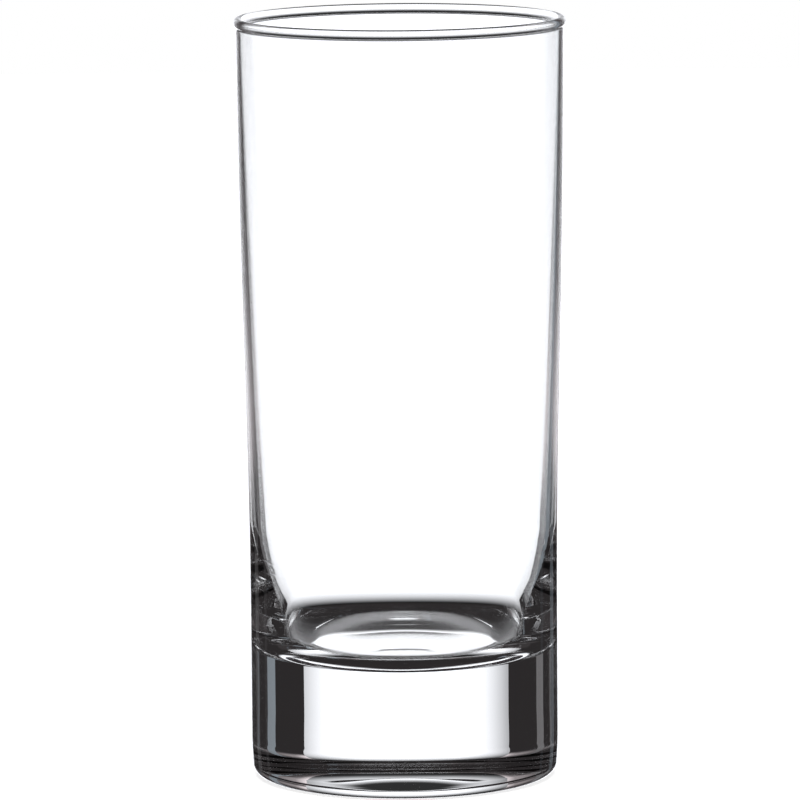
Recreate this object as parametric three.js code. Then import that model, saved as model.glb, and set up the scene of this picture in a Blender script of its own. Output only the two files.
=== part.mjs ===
// A slim drinking glass: a beaded rim, a wall that thickens downwards and a heavy clear base.
// Millimetres, +Z up, with the origin at the middle of the foot. Every zone is turned about Z.
import * as THREE from "three";

// Outside
const HEIGHT = 148.2; // from the table to the top of the rim
const BASE_DIAMETER = 60.1; // the straight lower part
const BASE_HEIGHT = 33.2; // top of the straight lower part, where the flare starts
const MOUTH_DIAMETER = 63.4; // outside of the wall, just under the rim bead
const BEAD_PROUD = 0.5; // how far the rim bead stands out from the wall
const BEAD_RADIUS = 0.97; // round section of the rim bead
const FLARE_EASE = 38; // how far up the flare keeps close to the straight base
const RIM_LEAN = 0.3; // degrees that the outside still leans outwards at the rim
const RIM_REACH = 58; // length of wall below the rim that the lean governs

// Inside
const FLOOR_THICKNESS = 23.5; // solid glass under the edge of the cup's floor
const FLOOR_DISH = 0.85; // how far the middle of the floor lies below its edge
const FLOOR_CORNER = 7.6; // radius between the floor and the tapered bottom of the cup
const TAPER = 11.8; // degrees from upright, of the tapered bottom of the cup
const TAPER_TOP = 36; // height at which the taper runs into the wide arc
const TAPER_DIAMETER = 52.44; // inside, at the top of the taper
const BOWL_RADIUS = 85; // wide arc that joins the taper to the wall
const INSIDE_DRAW = 1; // how far the inside draws in from the mouth to half-way down
const RIM_WALL = 0.75; // wall just under the rim bead

// Foot
const HEEL_RADIUS = 2.5; // rounded edge at the bottom
const HEEL_DRAW = 0.25; // how far the outside draws in towards the heel
const HEEL_RISE = 6.2; // height above the heel over which it draws in
const PUNT_DIAMETER = 22; // hollow in the middle of the underside
const PUSH_UP = 1.1; // depth of the hollow

// Facets round the axis, and points along each curve of an outline
const FACETS = 48;
const RIM_POINTS = 2;
const WALL_POINTS = 9;
const BASE_POINTS = 4;

// Radii and heights that the zones share
const baseRadius = BASE_DIAMETER / 2;
const mouthRadius = MOUTH_DIAMETER / 2;
const innerMouth = mouthRadius - RIM_WALL;
const taper = THREE.MathUtils.degToRad(TAPER);
const taperRadius = TAPER_DIAMETER / 2;
const innerBase = taperRadius - (TAPER_TOP - BASE_HEIGHT) * Math.tan(taper);

// The bead is a round section, thicker than the wall on both sides.
// The wall ends where the inside of the bead meets it.
const beadCentre = new THREE.Vector2(mouthRadius + BEAD_PROUD - BEAD_RADIUS, HEIGHT - BEAD_RADIUS);
const meetOutside = Math.acos((mouthRadius - beadCentre.x) / BEAD_RADIUS);
const meetInside = Math.acos((beadCentre.x - innerMouth) / BEAD_RADIUS);
const wallTop = beadCentre.y - BEAD_RADIUS * Math.sin(meetInside);

const clearGlass = new THREE.MeshStandardMaterial({
  color: 0xf2f6f5,
  roughness: 0.03,
  metalness: 0,
  transparent: true,
  opacity: 0.35,
});

// One zone of the glass, turned from its outline in (radius, height).
function turned(name, outline, points) {
  const geometry = new THREE.LatheGeometry(outline.getPoints(points), FACETS);
  geometry.rotateX(Math.PI / 2);
  const zone = new THREE.Mesh(geometry, clearGlass);
  zone.name = name;
  return zone;
}

function rimBead() {
  const outline = new THREE.Path()
    .moveTo(innerMouth, wallTop)
    .lineTo(mouthRadius, wallTop)
    .absarc(beadCentre.x, beadCentre.y, BEAD_RADIUS, -meetOutside, 0, false)
    .absarc(beadCentre.x, beadCentre.y, BEAD_RADIUS, 0, Math.PI / 2, false)
    .absarc(beadCentre.x, beadCentre.y, BEAD_RADIUS, Math.PI / 2, Math.PI, false)
    .absarc(beadCentre.x, beadCentre.y, BEAD_RADIUS, Math.PI, Math.PI + meetInside, false);
  return turned("rim_bead", outline, RIM_POINTS);
}

function sideWall() {
  const lean = RIM_REACH * Math.tan(THREE.MathUtils.degToRad(RIM_LEAN));
  // The inside draws in slowly from the mouth, bends half-way down and then touches the wide arc.
  const arcCentre = new THREE.Vector2(
    taperRadius - BOWL_RADIUS * Math.cos(taper),
    TAPER_TOP + BOWL_RADIUS * Math.sin(taper),
  );
  const bend = new THREE.Vector2(innerMouth - INSIDE_DRAW, (arcCentre.y + wallTop) / 2);
  const toBend = bend.clone().sub(arcCentre);
  const touch = Math.acos(BOWL_RADIUS / toBend.length()) - toBend.angle();
  const arcTop = new THREE.Vector2(
    arcCentre.x + BOWL_RADIUS * Math.cos(touch),
    arcCentre.y - BOWL_RADIUS * Math.sin(touch),
  );
  const outline = new THREE.Path()
    .moveTo(baseRadius, BASE_HEIGHT)
    .bezierCurveTo(
      baseRadius,
      BASE_HEIGHT + FLARE_EASE,
      mouthRadius - lean,
      wallTop - RIM_REACH,
      mouthRadius,
      wallTop,
    )
    .lineTo(innerMouth, wallTop)
    .quadraticCurveTo(bend.x, bend.y, arcTop.x, arcTop.y)
    .absarc(arcCentre.x, arcCentre.y, BOWL_RADIUS, -touch, -taper, true)
    .lineTo(innerBase, BASE_HEIGHT)
    .lineTo(baseRadius, BASE_HEIGHT);
  return turned("side_wall", outline, WALL_POINTS);
}

function heavyBase() {
  const footEdge = baseRadius - HEEL_DRAW - HEEL_RADIUS;
  const heelTop = HEEL_RADIUS + HEEL_RISE;
  const puntRadius = PUNT_DIAMETER / 2;
  const cornerHeight = FLOOR_THICKNESS + FLOOR_CORNER;
  const cornerInset = FLOOR_CORNER + (BASE_HEIGHT - cornerHeight) * Math.sin(taper);
  const floorRadius = innerBase - cornerInset / Math.cos(taper);
  const floorMiddle = FLOOR_THICKNESS - FLOOR_DISH;
  // The hollow underneath and the dished floor are both level at their middle and at their edge.
  const outline = new THREE.Path()
    .moveTo(0, PUSH_UP)
    .bezierCurveTo(puntRadius * 0.5, PUSH_UP, puntRadius * 0.7, 0, puntRadius, 0)
    .lineTo(footEdge, 0)
    .absarc(footEdge, HEEL_RADIUS, HEEL_RADIUS, -Math.PI / 2, 0, false)
    .quadraticCurveTo(baseRadius, HEEL_RADIUS + HEEL_RISE / 2, baseRadius, heelTop)
    .lineTo(baseRadius, BASE_HEIGHT)
    .lineTo(innerBase, BASE_HEIGHT)
    .absarc(floorRadius, cornerHeight, FLOOR_CORNER, -taper, -Math.PI / 2, true)
    .bezierCurveTo(floorRadius * 0.6, FLOOR_THICKNESS, floorRadius * 0.6, floorMiddle, 0, floorMiddle);
  return turned("heavy_base", outline, BASE_POINTS);
}

const drinkingGlass = new THREE.Group();
drinkingGlass.name = "drinking_glass";
drinkingGlass.add(rimBead(), sideWall(), heavyBase());

export default drinkingGlass;
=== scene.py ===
# %% [markdown]
# # A slim drinking glass
# This lesson turns one clear tumbler: a thin wall with a beaded rim over a heavy solid base. The glass is a
# single piece, so one closed mesh stands for it here. Everything is in metres, with +Z up and the origin at
# the middle of the foot.

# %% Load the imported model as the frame
import math

import bpy
from mathutils import Matrix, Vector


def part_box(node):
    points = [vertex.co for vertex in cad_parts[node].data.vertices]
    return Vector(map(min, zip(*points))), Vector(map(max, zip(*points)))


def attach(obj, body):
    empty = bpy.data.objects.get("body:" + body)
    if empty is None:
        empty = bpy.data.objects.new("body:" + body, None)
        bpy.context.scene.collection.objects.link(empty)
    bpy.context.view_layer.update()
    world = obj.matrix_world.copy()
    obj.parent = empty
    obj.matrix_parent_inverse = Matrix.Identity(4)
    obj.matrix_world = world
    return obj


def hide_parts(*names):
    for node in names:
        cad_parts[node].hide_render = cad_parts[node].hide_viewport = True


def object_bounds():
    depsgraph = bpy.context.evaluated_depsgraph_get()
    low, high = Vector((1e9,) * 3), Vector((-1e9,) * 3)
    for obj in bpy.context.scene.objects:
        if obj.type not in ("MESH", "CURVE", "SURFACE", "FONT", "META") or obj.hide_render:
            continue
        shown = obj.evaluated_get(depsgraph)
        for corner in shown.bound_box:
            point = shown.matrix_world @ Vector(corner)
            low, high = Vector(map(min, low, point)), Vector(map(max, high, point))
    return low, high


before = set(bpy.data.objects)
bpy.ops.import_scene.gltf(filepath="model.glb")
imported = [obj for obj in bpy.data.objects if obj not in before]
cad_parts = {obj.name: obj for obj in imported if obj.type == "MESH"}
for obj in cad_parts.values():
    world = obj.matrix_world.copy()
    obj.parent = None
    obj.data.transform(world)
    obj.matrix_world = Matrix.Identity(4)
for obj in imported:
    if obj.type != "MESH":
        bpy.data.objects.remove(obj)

cad_low, cad_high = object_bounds()
bpy.ops.object.select_all(action="DESELECT")

# %% [markdown]
# ## The camera
# A glass is drawn by what stands behind it, so the camera comes first. It is a long lens a little above the
# rim, looking slightly down, so that the mouth shows as a thin ellipse and the sides stay almost upright. A
# short lens close by would open the mouth too far.

# %% Camera
CAMERA_BACK = 1.365
CAMERA_HEIGHT = 0.2625
CAMERA_SIDE = -0.00046
CAMERA_DOWN = 7.885  # degrees below level
CAMERA_ROLL = 0.445  # degrees
CAMERA_LENS = 319.0  # focal length in millimetres
CAMERA_NEAR = 0.01  # nothing closer than this is drawn

bpy.ops.object.camera_add()
camera = bpy.context.object
camera.name = "camera"
camera.data.lens = CAMERA_LENS
camera.data.clip_start = CAMERA_NEAR
camera.matrix_world = (
    Matrix.Translation((CAMERA_SIDE, -CAMERA_BACK, CAMERA_HEIGHT))
    @ Matrix.Rotation(math.radians(90 - CAMERA_DOWN), 4, "X")
    @ Matrix.Rotation(math.radians(-CAMERA_ROLL), 4, "Z")
)
bpy.context.scene.camera = camera
print("camera", CAMERA_BACK, "m back, looking", CAMERA_DOWN, "degrees down")

# %% [markdown]
# ## The outline of the glass
# A tumbler is round, so half of its section says it all: the underside with its push-up, the heel, the
# outside, the rim bead, the inside and the floor of the cup. The overall sizes are read from the frame. The
# rest are the sizes that the solids were drawn from, such as the thick floor and the taper at the bottom of
# the cup. They matter more here than on an opaque part, because these surfaces bend the light and so draw
# the bright and dark shapes in the base.

# %% Sizes of the outline
MM = 0.001
HEIGHT = cad_high.z
BEAD_EDGE = cad_high.x
BASE_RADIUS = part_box("heavy_base")[1].x
BASE_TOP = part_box("side_wall")[0].z
WALL_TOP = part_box("side_wall")[1].z
MOUTH_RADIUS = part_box("side_wall")[1].x

RIM_WALL = 0.75 * MM
BEAD_RADIUS = 0.97 * MM
FLARE_EASE = 38 * MM
RIM_LEAN = math.radians(0.3)
RIM_REACH = 58 * MM

BOWL_RADIUS = 85 * MM
INSIDE_DRAW = 1 * MM
TAPER = math.radians(11.8)
TAPER_TOP = 36 * MM
TAPER_RADIUS = 26.22 * MM
FLOOR_CORNER = 7.6 * MM
FLOOR_EDGE = 23.5 * MM
FLOOR_DISH = 0.85 * MM

HEEL_RADIUS = 2.5 * MM
HEEL_DRAW = 0.25 * MM
HEEL_RISE = 6.2 * MM
PUNT_RADIUS = 11 * MM
PUSH_UP = 1.1 * MM

inner_mouth = MOUTH_RADIUS - RIM_WALL
print("height", round(HEIGHT, 4), "and width of the base", round(2 * BASE_RADIUS, 4))
print("width over the bead", round(2 * BEAD_EDGE, 4))

# %% Lines, arcs and curves for the outline
EDGE_SPACING = 0.15 * MM


def held(points):
    """The points with a close neighbour at each end, so that smooth shading stays true along the stretch."""
    ends = []
    for end, following in ((points[0], points[1]), (points[-1], points[-2])):
        share = EDGE_SPACING / math.dist(end, following)
        ends.append(tuple(a + (b - a) * share for a, b in zip(end, following)))
    return [points[0], ends[0], *points[1:-1], ends[1], points[-1]]


def arc(centre, radius, first, last, steps):
    """Points on an arc, from one angle to another in radians."""
    angles = [first + (last - first) * step / steps for step in range(steps + 1)]
    return [(centre[0] + radius * math.cos(a), centre[1] + radius * math.sin(a)) for a in angles]


def curve(handles, steps):
    """Points on a Bezier curve with the given handles."""
    points = []
    for step in range(steps + 1):
        share = step / steps
        level = list(handles)
        while len(level) > 1:
            level = [tuple(p + (q - p) * share for p, q in zip(a, b)) for a, b in zip(level, level[1:])]
        points.append(level[0])
    return points


# %% Underside and heel
PUSH_UP_EASE = (0.5, 0.7)  # where the two handles sit, as shares of the hollow's radius
PUSH_UP_STEPS = 20
HEEL_STEPS = 24
HEEL_SIDE_STEPS = 12

foot_edge = BASE_RADIUS - HEEL_DRAW - HEEL_RADIUS
heel_top = HEEL_RADIUS + HEEL_RISE

push_up_handles = [
    (0, PUSH_UP),
    (PUNT_RADIUS * PUSH_UP_EASE[0], PUSH_UP),
    (PUNT_RADIUS * PUSH_UP_EASE[1], 0),
    (PUNT_RADIUS, 0),
]
heel_side_handles = [
    (foot_edge + HEEL_RADIUS, HEEL_RADIUS),
    (BASE_RADIUS, HEEL_RADIUS + HEEL_RISE / 2),
    (BASE_RADIUS, heel_top),
]
push_up = curve(push_up_handles, PUSH_UP_STEPS)
foot_ring = held([(PUNT_RADIUS, 0), (foot_edge, 0)])
heel = arc((foot_edge, HEEL_RADIUS), HEEL_RADIUS, -math.pi / 2, 0, HEEL_STEPS)
heel_side = curve(heel_side_handles, HEEL_SIDE_STEPS)
print("the foot ring is flat from", round(PUNT_RADIUS, 4), "to", round(foot_edge, 4))

# %% Outside and rim bead
BEAD_FILLET = 0.3 * MM
FLARE_STEPS = 36
BEAD_STEPS = 40
FILLET_STEPS = 6

base_side = held([(BASE_RADIUS, heel_top), (BASE_RADIUS, BASE_TOP)])
flare_handles = [
    (BASE_RADIUS, BASE_TOP),
    (BASE_RADIUS, BASE_TOP + FLARE_EASE),
    (MOUTH_RADIUS - RIM_REACH * math.tan(RIM_LEAN), WALL_TOP - RIM_REACH),
    (MOUTH_RADIUS, WALL_TOP - BEAD_FILLET),
]
flare = held(curve(flare_handles, FLARE_STEPS))

# The bead is a round section that meets the wall on both sides, and each meeting gets a small fillet.
bead_centre = (BEAD_EDGE - BEAD_RADIUS, HEIGHT - BEAD_RADIUS)
meet_outside = math.acos((MOUTH_RADIUS - bead_centre[0]) / BEAD_RADIUS)
meet_inside = math.acos((bead_centre[0] - inner_mouth) / BEAD_RADIUS)
fillet_turn = BEAD_FILLET / BEAD_RADIUS
bead_start = fillet_turn - meet_outside
bead_end = math.pi + meet_inside - fillet_turn
bead = arc(bead_centre, BEAD_RADIUS, bead_start, bead_end, BEAD_STEPS)
meet_height = bead_centre[1] - BEAD_RADIUS * math.sin(meet_outside)
under_bead = curve([flare[-1], (MOUTH_RADIUS, meet_height), bead[0]], FILLET_STEPS)
in_bead = curve([bead[-1], (inner_mouth, WALL_TOP), (inner_mouth, WALL_TOP - BEAD_FILLET)], FILLET_STEPS)
print("bead", round(2 * BEAD_RADIUS, 5), "m thick over a wall of", round(RIM_WALL, 5))

# %% Inside of the cup
CUP_STEPS = 24

# The inside draws in slowly from the mouth, bends half-way down and then touches the wide arc.
bowl_centre = (TAPER_RADIUS - BOWL_RADIUS * math.cos(TAPER), TAPER_TOP + BOWL_RADIUS * math.sin(TAPER))
bend = (inner_mouth - INSIDE_DRAW, (bowl_centre[1] + WALL_TOP) / 2)
to_bend = (bend[0] - bowl_centre[0], bend[1] - bowl_centre[1])
touch = math.acos(BOWL_RADIUS / math.hypot(*to_bend)) - math.atan2(to_bend[1], to_bend[0])
bowl = arc(bowl_centre, BOWL_RADIUS, -touch, -TAPER, CUP_STEPS)
inside = held(curve([in_bead[-1], bend, bowl[0]], CUP_STEPS))
print("the inside meets the wide arc at a height of", round(bowl[0][1], 4))

# %% Floor of the cup
FLOOR_EASE = 0.6  # where both handles sit, as a share of the floor's radius
FLOOR_STEPS = 16

corner_height = FLOOR_EDGE + FLOOR_CORNER
corner_inset = FLOOR_CORNER + (TAPER_TOP - corner_height) * math.sin(TAPER)
floor_radius = TAPER_RADIUS - corner_inset / math.cos(TAPER)
floor_middle = FLOOR_EDGE - FLOOR_DISH
floor_handles = [
    (floor_radius, FLOOR_EDGE),
    (floor_radius * FLOOR_EASE, FLOOR_EDGE),
    (floor_radius * FLOOR_EASE, floor_middle),
    (0, floor_middle),
]
corner = arc((floor_radius, corner_height), FLOOR_CORNER, -TAPER, -math.pi / 2, CUP_STEPS)
cup_taper = held([bowl[-1], corner[0]])
cup_floor = curve(floor_handles, FLOOR_STEPS)

outer_stretches = (push_up, foot_ring, heel, heel_side, base_side, flare, under_bead, bead)
inner_stretches = (in_bead, inside, bowl, cup_taper, corner, cup_floor)
outline = [push_up[0]]
for stretch in (*outer_stretches, *inner_stretches):
    outline += stretch[1:]
print("floor radius", round(floor_radius, 4), "and an outline of", len(outline), "points")

# %% [markdown]
# ## Turning the glass
# The outline is drawn by extruding one point from place to place, as one would by hand, and then spun once
# round the upright axis, which is how a lathe would turn it. The Screw modifier or a stack of scaled circles
# would also do. Spin leaves a seam and can turn the faces inwards, so the doubles are merged and the normals
# are recalculated.

# %% Spin the outline
TURN_STEPS = 240
MERGE_DISTANCE = 0.001 * MM

bpy.ops.mesh.primitive_plane_add(size=MM)
glass = bpy.context.object
glass.name = "tumbler"
bpy.ops.object.mode_set(mode="EDIT")
bpy.ops.mesh.select_all(action="SELECT")
bpy.ops.mesh.merge(type="CENTER")
bpy.ops.transform.translate(value=(outline[0][0], 0, outline[0][1]))
for here, there in zip(outline, outline[1:]):
    step = (there[0] - here[0], 0, there[1] - here[1])
    bpy.ops.mesh.extrude_region_move(TRANSFORM_OT_translate={"value": step})
bpy.ops.mesh.select_all(action="SELECT")
bpy.ops.mesh.spin(steps=TURN_STEPS, angle=math.tau, center=(0, 0, 0), axis=(0, 0, 1))
bpy.ops.mesh.select_all(action="SELECT")
bpy.ops.mesh.remove_doubles(threshold=MERGE_DISTANCE)
bpy.ops.mesh.normals_make_consistent(inside=False)
bpy.ops.object.mode_set(mode="OBJECT")
bpy.ops.object.shade_smooth()
print(glass.name, len(glass.data.vertices), "points", len(glass.data.polygons), "faces")

# %% [markdown]
# ## Clear glass
# Soda-lime glass bends light by about 1.52 and has hardly any colour of its own. Transmission and the index
# sit on the shader as plain values, so that they survive the export. Pressed glass is never quite even,
# though. Its skin waves a little, the mould leaves short chill marks near its two seams, and the foot is
# scuffed where it slides on tables. Noise in the object's own coordinates makes all three. An image of
# scratches would be flatter and would show a seam.

# %% Node helpers
def object_place(tree):
    """The object's own coordinates, whole and split into X, Y and Z."""
    place = tree.nodes.new("ShaderNodeTexCoord").outputs["Object"]
    split = tree.nodes.new("ShaderNodeSeparateXYZ")
    tree.links.new(place, split.inputs["Vector"])
    return place, split.outputs


def length(tree, vector):
    """A Vector Math node that gives the length of a vector."""
    node = tree.nodes.new("ShaderNodeVectorMath")
    node.operation = "LENGTH"
    tree.links.new(vector, node.inputs[0])
    return node.outputs["Value"]


def absolute(tree, source):
    """A Math node that drops the sign."""
    node = tree.nodes.new("ShaderNodeMath")
    node.operation = "ABSOLUTE"
    tree.links.new(source, node.inputs[0])
    return node.outputs["Value"]


def combine(tree, operation, first, second):
    """A Math node over two sockets."""
    node = tree.nodes.new("ShaderNodeMath")
    node.operation = operation
    tree.links.new(first, node.inputs[0])
    tree.links.new(second, node.inputs[1])
    return node.outputs["Value"]


def product(tree, first, *others):
    """Several sockets multiplied together."""
    result = first
    for other in others:
        result = combine(tree, "MULTIPLY", result, other)
    return result


def ramp(tree, source, start, end, smooth=False):
    """A Map Range node that leads from one (place, level) to another."""
    node = tree.nodes.new("ShaderNodeMapRange")
    node.interpolation_type = "SMOOTHSTEP" if smooth else "LINEAR"
    node.inputs["From Min"].default_value, node.inputs["To Min"].default_value = start
    node.inputs["From Max"].default_value, node.inputs["To Max"].default_value = end
    tree.links.new(source, node.inputs["Value"])
    return node.outputs["Result"]


def noise(tree, place, grain, detail):
    """Noise with so many grains in a metre along each axis."""
    mapping = tree.nodes.new("ShaderNodeMapping")
    mapping.inputs["Scale"].default_value = grain
    texture = tree.nodes.new("ShaderNodeTexNoise")
    texture.inputs["Scale"].default_value = 1
    texture.inputs["Detail"].default_value = detail
    tree.links.new(place, mapping.inputs["Vector"])
    tree.links.new(mapping.outputs["Vector"], texture.inputs["Vector"])
    return texture.outputs["Fac"]


def bump(tree, height, depth, under=None):
    """A Bump node, on top of another one where there is one."""
    node = tree.nodes.new("ShaderNodeBump")
    node.inputs["Strength"].default_value = 1
    node.inputs["Distance"].default_value = depth
    tree.links.new(height, node.inputs["Height"])
    if under:
        tree.links.new(under, node.inputs["Normal"])
    return node.outputs["Normal"]


# %% Glass material
GLASS_INDEX = 1.52
GLASS_COLOUR = (0.996, 1, 0.998, 1)

clear_glass = bpy.data.materials.new("clear_glass")
clear_glass.use_nodes = True
glass_tree = clear_glass.node_tree
shader = glass_tree.nodes["Principled BSDF"]
shader.inputs["Base Color"].default_value = GLASS_COLOUR
shader.inputs["Transmission Weight"].default_value = 1
shader.inputs["IOR"].default_value = GLASS_INDEX

glass_place, glass_axes = object_place(glass_tree)
flat = glass_tree.nodes.new("ShaderNodeVectorMath")
flat.operation = "MULTIPLY"
flat.inputs[1].default_value = (1, 1, 0)
glass_tree.links.new(glass_place, flat.inputs[0])
height = glass_axes["Z"]
radius = length(glass_tree, flat.outputs["Vector"])
print("material", clear_glass.name, "of index", GLASS_INDEX)

# %% Waves and chill marks
WAVE_DEPTH = 0.012 * MM
WAVE_GRAIN = (45, 45, 30)
CHILL_DEPTH = 0.016 * MM
CHILL_BAND = (26 * MM, 30 * MM, 46 * MM, 52 * MM)  # heights where the marks start, are full, wane and end
CHILL_SIDE = (23 * MM, 27 * MM)  # sideways from the middle, where the marks start and are full
CHILL_SKIN = (1.2 * MM, 0.6 * MM)  # in from the outside, so that the inside of the cup stays clean
SCRATCH_GRAIN = (200, 200, 900)
SCRATCH_LEVELS = (0.6, 0.72)
PATCH_GRAIN = (70, 70, 90)
PATCH_LEVELS = (0.45, 0.6)
SOFT_DETAIL = 1

waves = noise(glass_tree, glass_place, WAVE_GRAIN, SOFT_DETAIL)
scratch_noise = noise(glass_tree, glass_place, SCRATCH_GRAIN, SOFT_DETAIL)
scratches = ramp(glass_tree, scratch_noise, (SCRATCH_LEVELS[0], 0), (SCRATCH_LEVELS[1], 1), smooth=True)
patch_noise = noise(glass_tree, glass_place, PATCH_GRAIN, SOFT_DETAIL)
patches = ramp(glass_tree, patch_noise, (PATCH_LEVELS[0], 0), (PATCH_LEVELS[1], 1), smooth=True)

low_edge = ramp(glass_tree, height, (CHILL_BAND[0], 0), (CHILL_BAND[1], 1), smooth=True)
high_edge = ramp(glass_tree, height, (CHILL_BAND[2], 1), (CHILL_BAND[3], 0), smooth=True)
outside = ramp(glass_tree, radius, (BASE_RADIUS - CHILL_SKIN[0], 0), (BASE_RADIUS - CHILL_SKIN[1], 1))
sideways = absolute(glass_tree, glass_axes["X"])
near_seam = ramp(glass_tree, sideways, (CHILL_SIDE[0], 0), (CHILL_SIDE[1], 1), smooth=True)
chill = product(glass_tree, scratches, patches, low_edge, high_edge, outside, near_seam)

skin = bump(glass_tree, chill, CHILL_DEPTH, bump(glass_tree, waves, WAVE_DEPTH))
glass_tree.links.new(skin, shader.inputs["Normal"])
print("waves", WAVE_DEPTH, "m deep and chill marks", CHILL_DEPTH, "m")

# %% Scuffed foot
POLISH_GRAIN = (900, 900, 900)
POLISH_DETAIL = 3
POLISH_LEVELS = (0.3, 0.7)
POLISH_ROUGHNESS = 0.012
SCUFF_RISE = (0.05 * MM, 0.4 * MM)  # heights between which the scuffs end
SCUFF_RING = (3 * MM, 1 * MM)  # in from the edge of the foot, where they start and are full
SCUFF_ROUGHNESS = 0.08

polish_noise = noise(glass_tree, glass_place, POLISH_GRAIN, POLISH_DETAIL)
polish = ramp(glass_tree, polish_noise, (POLISH_LEVELS[0], 0), (POLISH_LEVELS[1], POLISH_ROUGHNESS))
on_table = ramp(glass_tree, height, (SCUFF_RISE[0], 1), (SCUFF_RISE[1], 0))
ring_start = foot_edge - SCUFF_RING[0]
ring_full = foot_edge - SCUFF_RING[1]
ring = ramp(glass_tree, radius, (ring_start, 0), (ring_full, SCUFF_ROUGHNESS))
scuff = product(glass_tree, on_table, ring)
glass_tree.links.new(combine(glass_tree, "ADD", polish, scuff), shader.inputs["Roughness"])
glass.data.materials.append(clear_glass)
print("scuffs on the outer part of the foot ring")

# %% [markdown]
# ## One mesh for three zones
# The solids divide the glass into a rim bead, a side wall and a heavy base. Three touching meshes would show
# their boundaries as lines inside clear glass, and the real glass has none there, so the one mesh takes the
# place of all three.

# %% The glass takes the place of the three zones
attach(glass, "root")
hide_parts("rim_bead", "side_wall", "heavy_base")
print("the tumbler stands for rim_bead, side_wall and heavy_base")

# %% [markdown]
# ## The studio
# Clear glass is lit from behind. A bright backdrop stands far behind it, and two dark flags stand nearer,
# left and right, so that the edges of the glass, which bend the light furthest, draw themselves as dark
# lines. A ring of lamps would only put spots on the glass. All the sheets hang on a stand at the middle of
# the glass that turns with the camera, so that they are behind the glass from whichever side one looks.

# %% Stand that turns with the camera
bpy.ops.object.empty_add(location=(0, 0, HEIGHT / 2))
stand = bpy.context.object
stand.name = "studio_stand"
turn = stand.constraints.new("COPY_ROTATION")
turn.target = camera
bpy.context.view_layer.update()
print("stand at", round(stand.location.z, 4), "m")

# %% Sheets of light and dark
def glow(name, colour, strength=1):
    """A material that shines with one colour."""
    material = bpy.data.materials.new(name)
    material.use_nodes = True
    nodes = material.node_tree.nodes
    nodes.clear()
    light = nodes.new("ShaderNodeEmission")
    light.inputs["Color"].default_value = (*colour, 1)
    light.inputs["Strength"].default_value = strength
    output = nodes.new("ShaderNodeOutputMaterial")
    material.node_tree.links.new(light.outputs["Emission"], output.inputs["Surface"])
    return material


def vary(material, level):
    """Let a node of a shining material set how strongly it shines from place to place."""
    tree = material.node_tree
    tree.links.new(level, tree.nodes["Emission"].inputs["Strength"])


def studio_sheet(name, start, end, material):
    """A flat upright sheet between two corners, hung on the stand. Only the glass sees it."""
    bpy.ops.mesh.primitive_plane_add(size=1)
    sheet = bpy.context.object
    sheet.name = name
    width = math.dist(start[:2], end[:2])
    sheet.scale = (width, end[2] - start[2], 1)
    sheet.rotation_euler = (math.pi / 2, 0, math.atan2(end[1] - start[1], end[0] - start[0]))
    sheet.location = tuple((a + b) / 2 for a, b in zip(start, end))
    bpy.ops.object.transform_apply(location=True, rotation=True, scale=True)
    sheet.parent = stand
    sheet.matrix_parent_inverse = stand.matrix_world.inverted()
    sheet.data.materials.append(material)
    sheet.visible_camera = False
    sheet.visible_diffuse = False
    sheet.visible_shadow = False
    print(name, "from", [round(v, 3) for v in start], "to", [round(v, 3) for v in end])


# %% [markdown]
# ## The backdrop
# The backdrop is what shines through the base. It is brightest in its middle, falls off to both sides and
# fades out upwards and downwards, as a lit paper roll does. Its directions are given as angles seen from the
# middle of the base, because the base turns angles into places in the picture.

# %% Backdrop
BACKDROP_DISTANCE = 0.9
BACKDROP_HALF = 1.0  # half of its width
BACKDROP_TOP = math.radians(60)
BACKDROP_LIGHT = 1.72
BACKDROP_COLOUR = (0.95, 0.96, 1)
SKY_LIGHT = 0.03  # what is left of the light above the upper fade
EDGE_LEFT = math.radians(30.2)
EDGE_RIGHT = math.radians(29.2)
EDGE_LIGHT = (0.52, 0.75)  # light at the left and the right edge
EDGE_SHARE = 0.4  # share of the way to an edge at which the light starts to fall
FADE_UP = (math.radians(-3), math.radians(28))
FADE_DOWN = (math.radians(-18), math.radians(-48))
BASE_MIDDLE = 20 * MM


def backdrop_height(elevation):
    """Where a ray from the middle of the base meets the backdrop."""
    return BASE_MIDDLE + BACKDROP_DISTANCE * math.tan(elevation)


backdrop_light = glow("backdrop_light", BACKDROP_COLOUR)
backdrop_tree = backdrop_light.node_tree
backdrop_axes = object_place(backdrop_tree)[1]
across = backdrop_axes["X"]
upwards = backdrop_axes["Z"]
left_edge = -BACKDROP_DISTANCE * math.tan(EDGE_LEFT)
right_edge = BACKDROP_DISTANCE * math.tan(EDGE_RIGHT)
left = ramp(backdrop_tree, across, (left_edge, EDGE_LIGHT[0]), (left_edge * EDGE_SHARE, BACKDROP_LIGHT))
right = ramp(backdrop_tree, across, (right_edge * EDGE_SHARE, BACKDROP_LIGHT), (right_edge, EDGE_LIGHT[1]))
both_sides = combine(backdrop_tree, "MINIMUM", left, right)

up_start, up_end = map(backdrop_height, FADE_UP)
down_start, down_end = map(backdrop_height, FADE_DOWN)
high = ramp(backdrop_tree, upwards, (up_start, 1), (up_end, SKY_LIGHT / BACKDROP_LIGHT), smooth=True)
low = ramp(backdrop_tree, upwards, (down_end, 0), (down_start, 1), smooth=True)
vary(backdrop_light, product(backdrop_tree, both_sides, high, low))
studio_sheet(
    "backdrop",
    (-BACKDROP_HALF, BACKDROP_DISTANCE, down_end),
    (BACKDROP_HALF, BACKDROP_DISTANCE, backdrop_height(BACKDROP_TOP)),
    backdrop_light,
)
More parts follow.
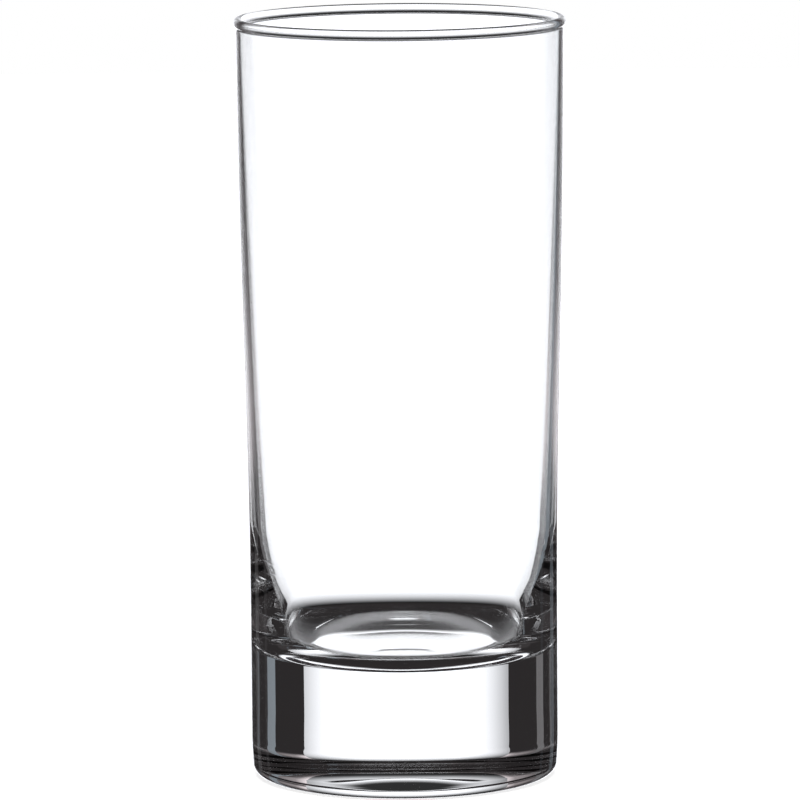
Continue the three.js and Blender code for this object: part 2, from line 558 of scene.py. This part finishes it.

# %% [markdown]
# ## The flags
# The flags cut off the backdrop at both sides, and so make the dark sides of the base and of the walls. They
# are black at the foot, glow grey a little above the cup's floor, most at their inner edges, and are almost
# black again higher up. That grey is painted light, shone by the sheets themselves. The base crosses the
# view
# over: a ray at one edge of its bright middle leaves the back of the base on that side and passes the flag
# on the other side, and that gives each flag its place.

# %% Flags
FLAG_DISTANCE = 0.16
FLAG_WIDTH = 1.2
FLAG_HALF_HEIGHT = 1.0
VIEW_LEFT = math.radians(32.3)
VIEW_RIGHT = math.radians(30.9)
BASE_EXIT = (6.9 * MM, 29.6 * MM)  # sideways and behind the axis, where such a ray leaves the base
DARK = 0.025
DARK_COLOUR = (1, 0.9, 0.93)
FLAG_GREY = 0.36
FLAG_GREY_TOP = 0.06
FLAG_TURN = (12 * MM, 36 * MM, 80 * MM)  # heights where it turns from black, is grey and is dark again
FLAG_FADE = (71 * MM, 88 * MM, 150 * MM)  # sideways: inner edge, end of its gain, end of the fall
FLAG_EDGE_GAIN = 2.6
FLAG_OUTER_SHARE = 0.35

# Painted light: the flags are sheets that shine, grey above the cup's floor and most at their inner edges.
flag_glow = glow("flag_glow", DARK_COLOUR)
flag_tree = flag_glow.node_tree
flag_axes = object_place(flag_tree)[1]
from_middle = absolute(flag_tree, flag_axes["X"])
turning = ramp(flag_tree, flag_axes["Z"], (FLAG_TURN[0], 0), (FLAG_TURN[1], 1), smooth=True)
grey = ramp(flag_tree, flag_axes["Z"], (FLAG_TURN[1], FLAG_GREY), (FLAG_TURN[2], FLAG_GREY_TOP), smooth=True)
edge_gain = ramp(flag_tree, from_middle, (FLAG_FADE[0], FLAG_EDGE_GAIN), (FLAG_FADE[1], 1))
outwards = ramp(flag_tree, from_middle, (FLAG_FADE[0], 1), (FLAG_FADE[2], FLAG_OUTER_SHARE))
dark_level = flag_tree.nodes.new("ShaderNodeValue").outputs["Value"]
dark_level.default_value = DARK
grey_glow_level = product(flag_tree, turning, grey, edge_gain, outwards)
vary(flag_glow, combine(flag_tree, "ADD", grey_glow_level, dark_level))

behind_base = FLAG_DISTANCE - BASE_EXIT[1]
flag_left = BASE_EXIT[0] - behind_base * math.tan(VIEW_LEFT)
flag_right = -BASE_EXIT[0] + behind_base * math.tan(VIEW_RIGHT)
for name, inner, outer in (
    ("flag_left", flag_left, flag_left - FLAG_WIDTH),
    ("flag_right", flag_right, flag_right + FLAG_WIDTH),
):
    bottom_corner = (inner, FLAG_DISTANCE, -FLAG_HALF_HEIGHT)
    top_corner = (outer, FLAG_DISTANCE, FLAG_HALF_HEIGHT)
    studio_sheet(name, bottom_corner, top_corner, flag_glow)

# %% [markdown]
# ## Glowing grey strips
# Four upright strips glow a dim grey just in front of the flags. That grey is painted light, shone by the
# strips themselves. The base draws them as thin paler bars in its dark sides. Painting such bars on the
# glass would be wrong, because they are seen through it and aren't on its skin.

# %% Glowing grey strips
STRIP_DISTANCE = 0.14
STRIP_HALF_HEIGHT = 0.2
COOL = (0.8, 0.9, 1)
NEUTRAL = (1, 0.97, 1)

# Middle, half width and light of each strip
WIDE_RIGHT = (129.6 * MM, 16.9 * MM, 0.3)
WIDE_LEFT = (-138.7 * MM, 17 * MM, 0.17)
THIN_RIGHT = (242 * MM, 15 * MM, 0.11)
THIN_LEFT = (-232 * MM, 15 * MM, 0.12)


def grey_strip(name, strip, glow_name, colour):
    """An upright strip that shines with the given light, painted light, centred on the height of the glass.
    """
    middle, half_width, light = strip
    studio_sheet(
        name,
        (middle - half_width, STRIP_DISTANCE, HEIGHT / 2 - STRIP_HALF_HEIGHT),
        (middle + half_width, STRIP_DISTANCE, HEIGHT / 2 + STRIP_HALF_HEIGHT),
        glow(glow_name, colour, light),
    )


# Painted light: each strip shines a dim grey of its own, with no lamp in it.
grey_strip("wide_strip_right", WIDE_RIGHT, "cool_glow", COOL)
grey_strip("wide_strip_left", WIDE_LEFT, "neutral_glow", NEUTRAL)
grey_strip("thin_strip_right", THIN_RIGHT, "cool_glow_dim", COOL)
grey_strip("thin_strip_left", THIN_LEFT, "neutral_glow_dim", NEUTRAL)

# %% [markdown]
# ## Floor, lamp and background
# The floor is pale and runs into the white background. It also shines itself, which is painted light, so
# that only a faint shadow stays round the foot. The glow is weaker near the foot and full farther out, where
# the lamp's light falls off. The glass looks through it to the backdrop, as through a light table. The
# background is white to the camera and dark to the glass, because a white room all round would wash out the
# dark lines.

# %% Floor
FLOOR_HALF = 1.5
FLOOR_COLOUR = (0.9, 0.9, 0.9, 1)
FLOOR_GLOW = 0.8  # near the foot, and 1 farther out
FLOOR_GLOW_RISE = (0.06, 0.3)  # distances from the middle between which the glow rises
WHITE = (1, 1, 1)

bpy.ops.mesh.primitive_plane_add(size=2 * FLOOR_HALF)
studio_floor = bpy.context.object
studio_floor.name = "studio_floor"
glowing_pale_floor = glow("glowing_pale_floor", WHITE)
floor_tree = glowing_pale_floor.node_tree
reach = length(floor_tree, floor_tree.nodes.new("ShaderNodeTexCoord").outputs["Object"])
# Painted light: the floor's glow is weaker near the foot and full farther out, where the lamp falls off.
vary(glowing_pale_floor, ramp(floor_tree, reach, (FLOOR_GLOW_RISE[0], FLOOR_GLOW), (FLOOR_GLOW_RISE[1], 1), smooth=True))

matt = floor_tree.nodes.new("ShaderNodeBsdfDiffuse")
matt.inputs["Color"].default_value = FLOOR_COLOUR
matt_and_glow = floor_tree.nodes.new("ShaderNodeAddShader")
floor_tree.links.new(matt.outputs["BSDF"], matt_and_glow.inputs[0])
floor_tree.links.new(floor_tree.nodes["Emission"].outputs["Emission"], matt_and_glow.inputs[1])
floor_tree.links.new(matt_and_glow.outputs["Shader"], floor_tree.nodes["Material Output"].inputs["Surface"])
studio_floor.data.materials.append(glowing_pale_floor)
studio_floor.visible_transmission = False
studio_floor.visible_glossy = False
print("floor", 2 * FLOOR_HALF, "m")

# %% Lamp
LAMP_HEIGHT = 1.5
LAMP_SIZE = 1.5
LAMP_POWER = 18

bpy.ops.object.light_add(type="AREA", location=(0, 0, LAMP_HEIGHT))
lamp = bpy.context.object
lamp.name = "soft_lamp"
lamp.data.size = LAMP_SIZE
lamp.data.energy = LAMP_POWER
lamp.visible_glossy = False
lamp.visible_transmission = False
print("lamp", lamp.data.energy, "W")

# %% Background
world = bpy.data.worlds.new("white_room")
bpy.context.scene.world = world
world.use_nodes = True
world_tree = world.node_tree
dark_room = world_tree.nodes["Background"]
dark_room.inputs["Color"].default_value = (*DARK_COLOUR, 1)
dark_room.inputs["Strength"].default_value = DARK
white_room = world_tree.nodes.new("ShaderNodeBackground")
white_room.inputs["Color"].default_value = (*WHITE, 1)
light_path = world_tree.nodes.new("ShaderNodeLightPath")
pick = world_tree.nodes.new("ShaderNodeMixShader")
world_tree.links.new(light_path.outputs["Is Camera Ray"], pick.inputs["Fac"])
world_tree.links.new(dark_room.outputs["Background"], pick.inputs[1])
world_tree.links.new(white_room.outputs["Background"], pick.inputs[2])
world_tree.links.new(pick.outputs["Shader"], world_tree.nodes["World Output"].inputs["Surface"])
print("white to the camera, dark to the glass")

# %% Plain colours and enough bounces
LIGHT_BOUNCES = 24  # light crosses many faces inside the heavy base

scene = bpy.context.scene
scene.view_settings.view_transform = "Standard"
scene.cycles.max_bounces = LIGHT_BOUNCES
scene.cycles.glossy_bounces = LIGHT_BOUNCES
scene.cycles.transmission_bounces = LIGHT_BOUNCES
print("up to", LIGHT_BOUNCES, "bounces")
